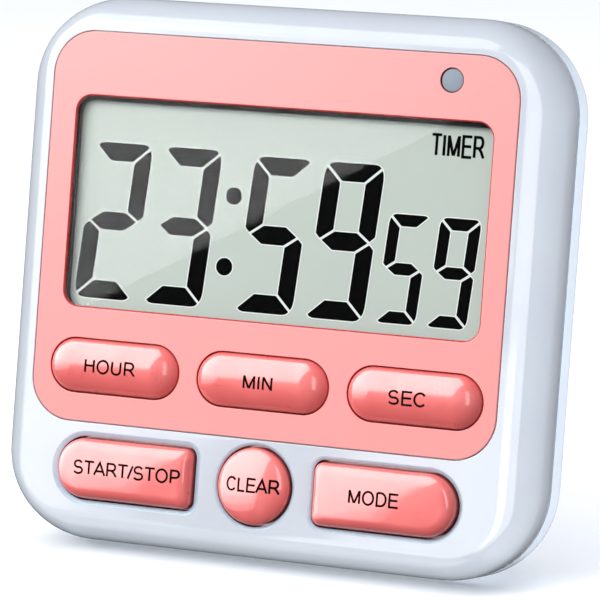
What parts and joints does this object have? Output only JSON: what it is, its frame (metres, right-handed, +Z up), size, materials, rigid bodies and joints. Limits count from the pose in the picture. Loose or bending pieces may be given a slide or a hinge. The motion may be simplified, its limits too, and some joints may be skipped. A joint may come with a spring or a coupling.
{
  "type": "digital kitchen timer",
  "caption": "Rounded-square digital kitchen timer with a seven-segment display, push buttons below it, magnets and a folding stand on the back.",
  "frame": {"origin": "on the surface that the timer stands on, under the middle of its whole box with the stand open", "axes": "+Z up, +X to the right of the face as the user sees it, -Y towards the user; the face leans back 10.6 degrees"},
  "size_m": [0.085, 0.0396, 0.0817],
  "materials": {
    "case_white": "high gloss moulded ABS",
    "shell_white": "high gloss moulded ABS, slightly greyer",
    "plate_pink": "satin moulded plastic",
    "button_coral": "high gloss moulded plastic",
    "clear_lens": "polished clear acrylic",
    "gasket_black": "matte foam",
    "lcd_film": "grey-green polarising film",
    "lcd_glass": "polished glass",
    "reflector_silver": "satin film",
    "holder_white": "moulded",
    "zebra_grey": "silicone",
    "board_green": "solder mask over glass fibre",
    "chip_black": "epoxy",
    "tinned_metal": "nickel plated",
    "coil_black": "heat-shrink sleeve",
    "capacitor_tan": "ceramic chip",
    "led_red": "tinted epoxy",
    "alert_grey": "frosted clear grey",
    "keypad_grey": "silicone",
    "carbon_black": "carbon-filled silicone",
    "buzzer_brass": "rolled sheet",
    "buzzer_white": "silvered ceramic",
    "lead_red": "PVC insulation",
    "lead_black": "PVC insulation",
    "battery_blue": "printed sleeve",
    "magnet_dark": "ground ferrite",
    "switch_metal": "stamped steel",
    "knob_black": "moulded"
  },
  "bodies": {
    "case": {"front_case": "case_white", "rear_case": "shell_white", "face_plate": "plate_pink", "display_lens": "clear_lens", "display_gasket": "gasket_black", "lcd_polarizer": "lcd_film", "lcd_front_glass": "lcd_glass", "lcd_rear_glass": "lcd_glass", "lcd_reflector": "reflector_silver", "lcd_holder": "holder_white", "zebra_strip": "zebra_grey", "circuit_board": "board_green", "controller_chip": "chip_black", "quartz_crystal": "tinned_metal", "boost_coil": "coil_black", "small_capacitors": "capacitor_tan", "alert_led": "led_red", "alert_lens": "alert_grey", "rubber_keypad": "keypad_grey", "keypad_contacts": "carbon_black", "buzzer_plate": "buzzer_brass", "buzzer_ceramic": "buzzer_white", "buzzer_leads": "lead_red", "battery_cell": "battery_blue", "battery_spring": "tinned_metal", "battery_contact": "tinned_metal", "battery_leads": "lead_black", "left_magnet": "magnet_dark", "right_magnet": "magnet_dark", "power_switch": "switch_metal", "sound_switch": "switch_metal", "case_screws": "tinned_metal", "board_screws": "tinned_metal"},
    "hour_button": {"hour_button": "button_coral"},
    "minute_button": {"minute_button": "button_coral"},
    "second_button": {"second_button": "button_coral"},
    "start_stop_button": {"start_stop_button": "button_coral"},
    "clear_button": {"clear_button": "button_coral"},
    "mode_button": {"mode_button": "button_coral"},
    "kickstand": {"kickstand": "shell_white"},
    "battery_door": {"battery_door": "shell_white"},
    "power_slider": {"power_slider": "knob_black"},
    "sound_slider": {"sound_slider": "knob_black"}
  },
  "joints": [
    {"name": "hour_press", "type": "slide", "parent": "case", "child": "hour_button", "axis": [0, 0.9829, -0.184], "range_m": [0, 0.0009], "stiffness_N_per_m": 2000},
    {"name": "minute_press", "type": "slide", "parent": "case", "child": "minute_button", "axis": [0, 0.9829, -0.184], "range_m": [0, 0.0009], "stiffness_N_per_m": 2000},
    {"name": "second_press", "type": "slide", "parent": "case", "child": "second_button", "axis": [0, 0.9829, -0.184], "range_m": [0, 0.0009], "stiffness_N_per_m": 2000},
    {"name": "start_stop_press", "type": "slide", "parent": "case", "child": "start_stop_button", "axis": [0, 0.9829, -0.184], "range_m": [0, 0.0009], "stiffness_N_per_m": 2000},
    {"name": "clear_press", "type": "slide", "parent": "case", "child": "clear_button", "axis": [0, 0.9829, -0.184], "range_m": [0, 0.0009], "stiffness_N_per_m": 2000},
    {"name": "mode_press", "type": "slide", "parent": "case", "child": "mode_button", "axis": [0, 0.9829, -0.184], "range_m": [0, 0.0009], "stiffness_N_per_m": 2000},
    {"name": "stand_fold", "type": "hinge", "parent": "case", "child": "kickstand", "pos_m": [0, 0.00678, 0.05852], "axis": [-1, 0, 0], "range_deg": [0, 22.48]},
    {"name": "battery_door_lift", "type": "slide", "parent": "case", "child": "battery_door", "axis": [0, 0.9829, -0.184], "range_m": [0, 0.025]},
    {"name": "power_slide", "type": "slide", "parent": "case", "child": "power_slider", "axis": [1, 0, 0], "range_m": [0, 0.002]},
    {"name": "sound_slide", "type": "slide", "parent": "case", "child": "sound_slider", "axis": [1, 0, 0], "range_m": [0, 0.004]}
  ]
}
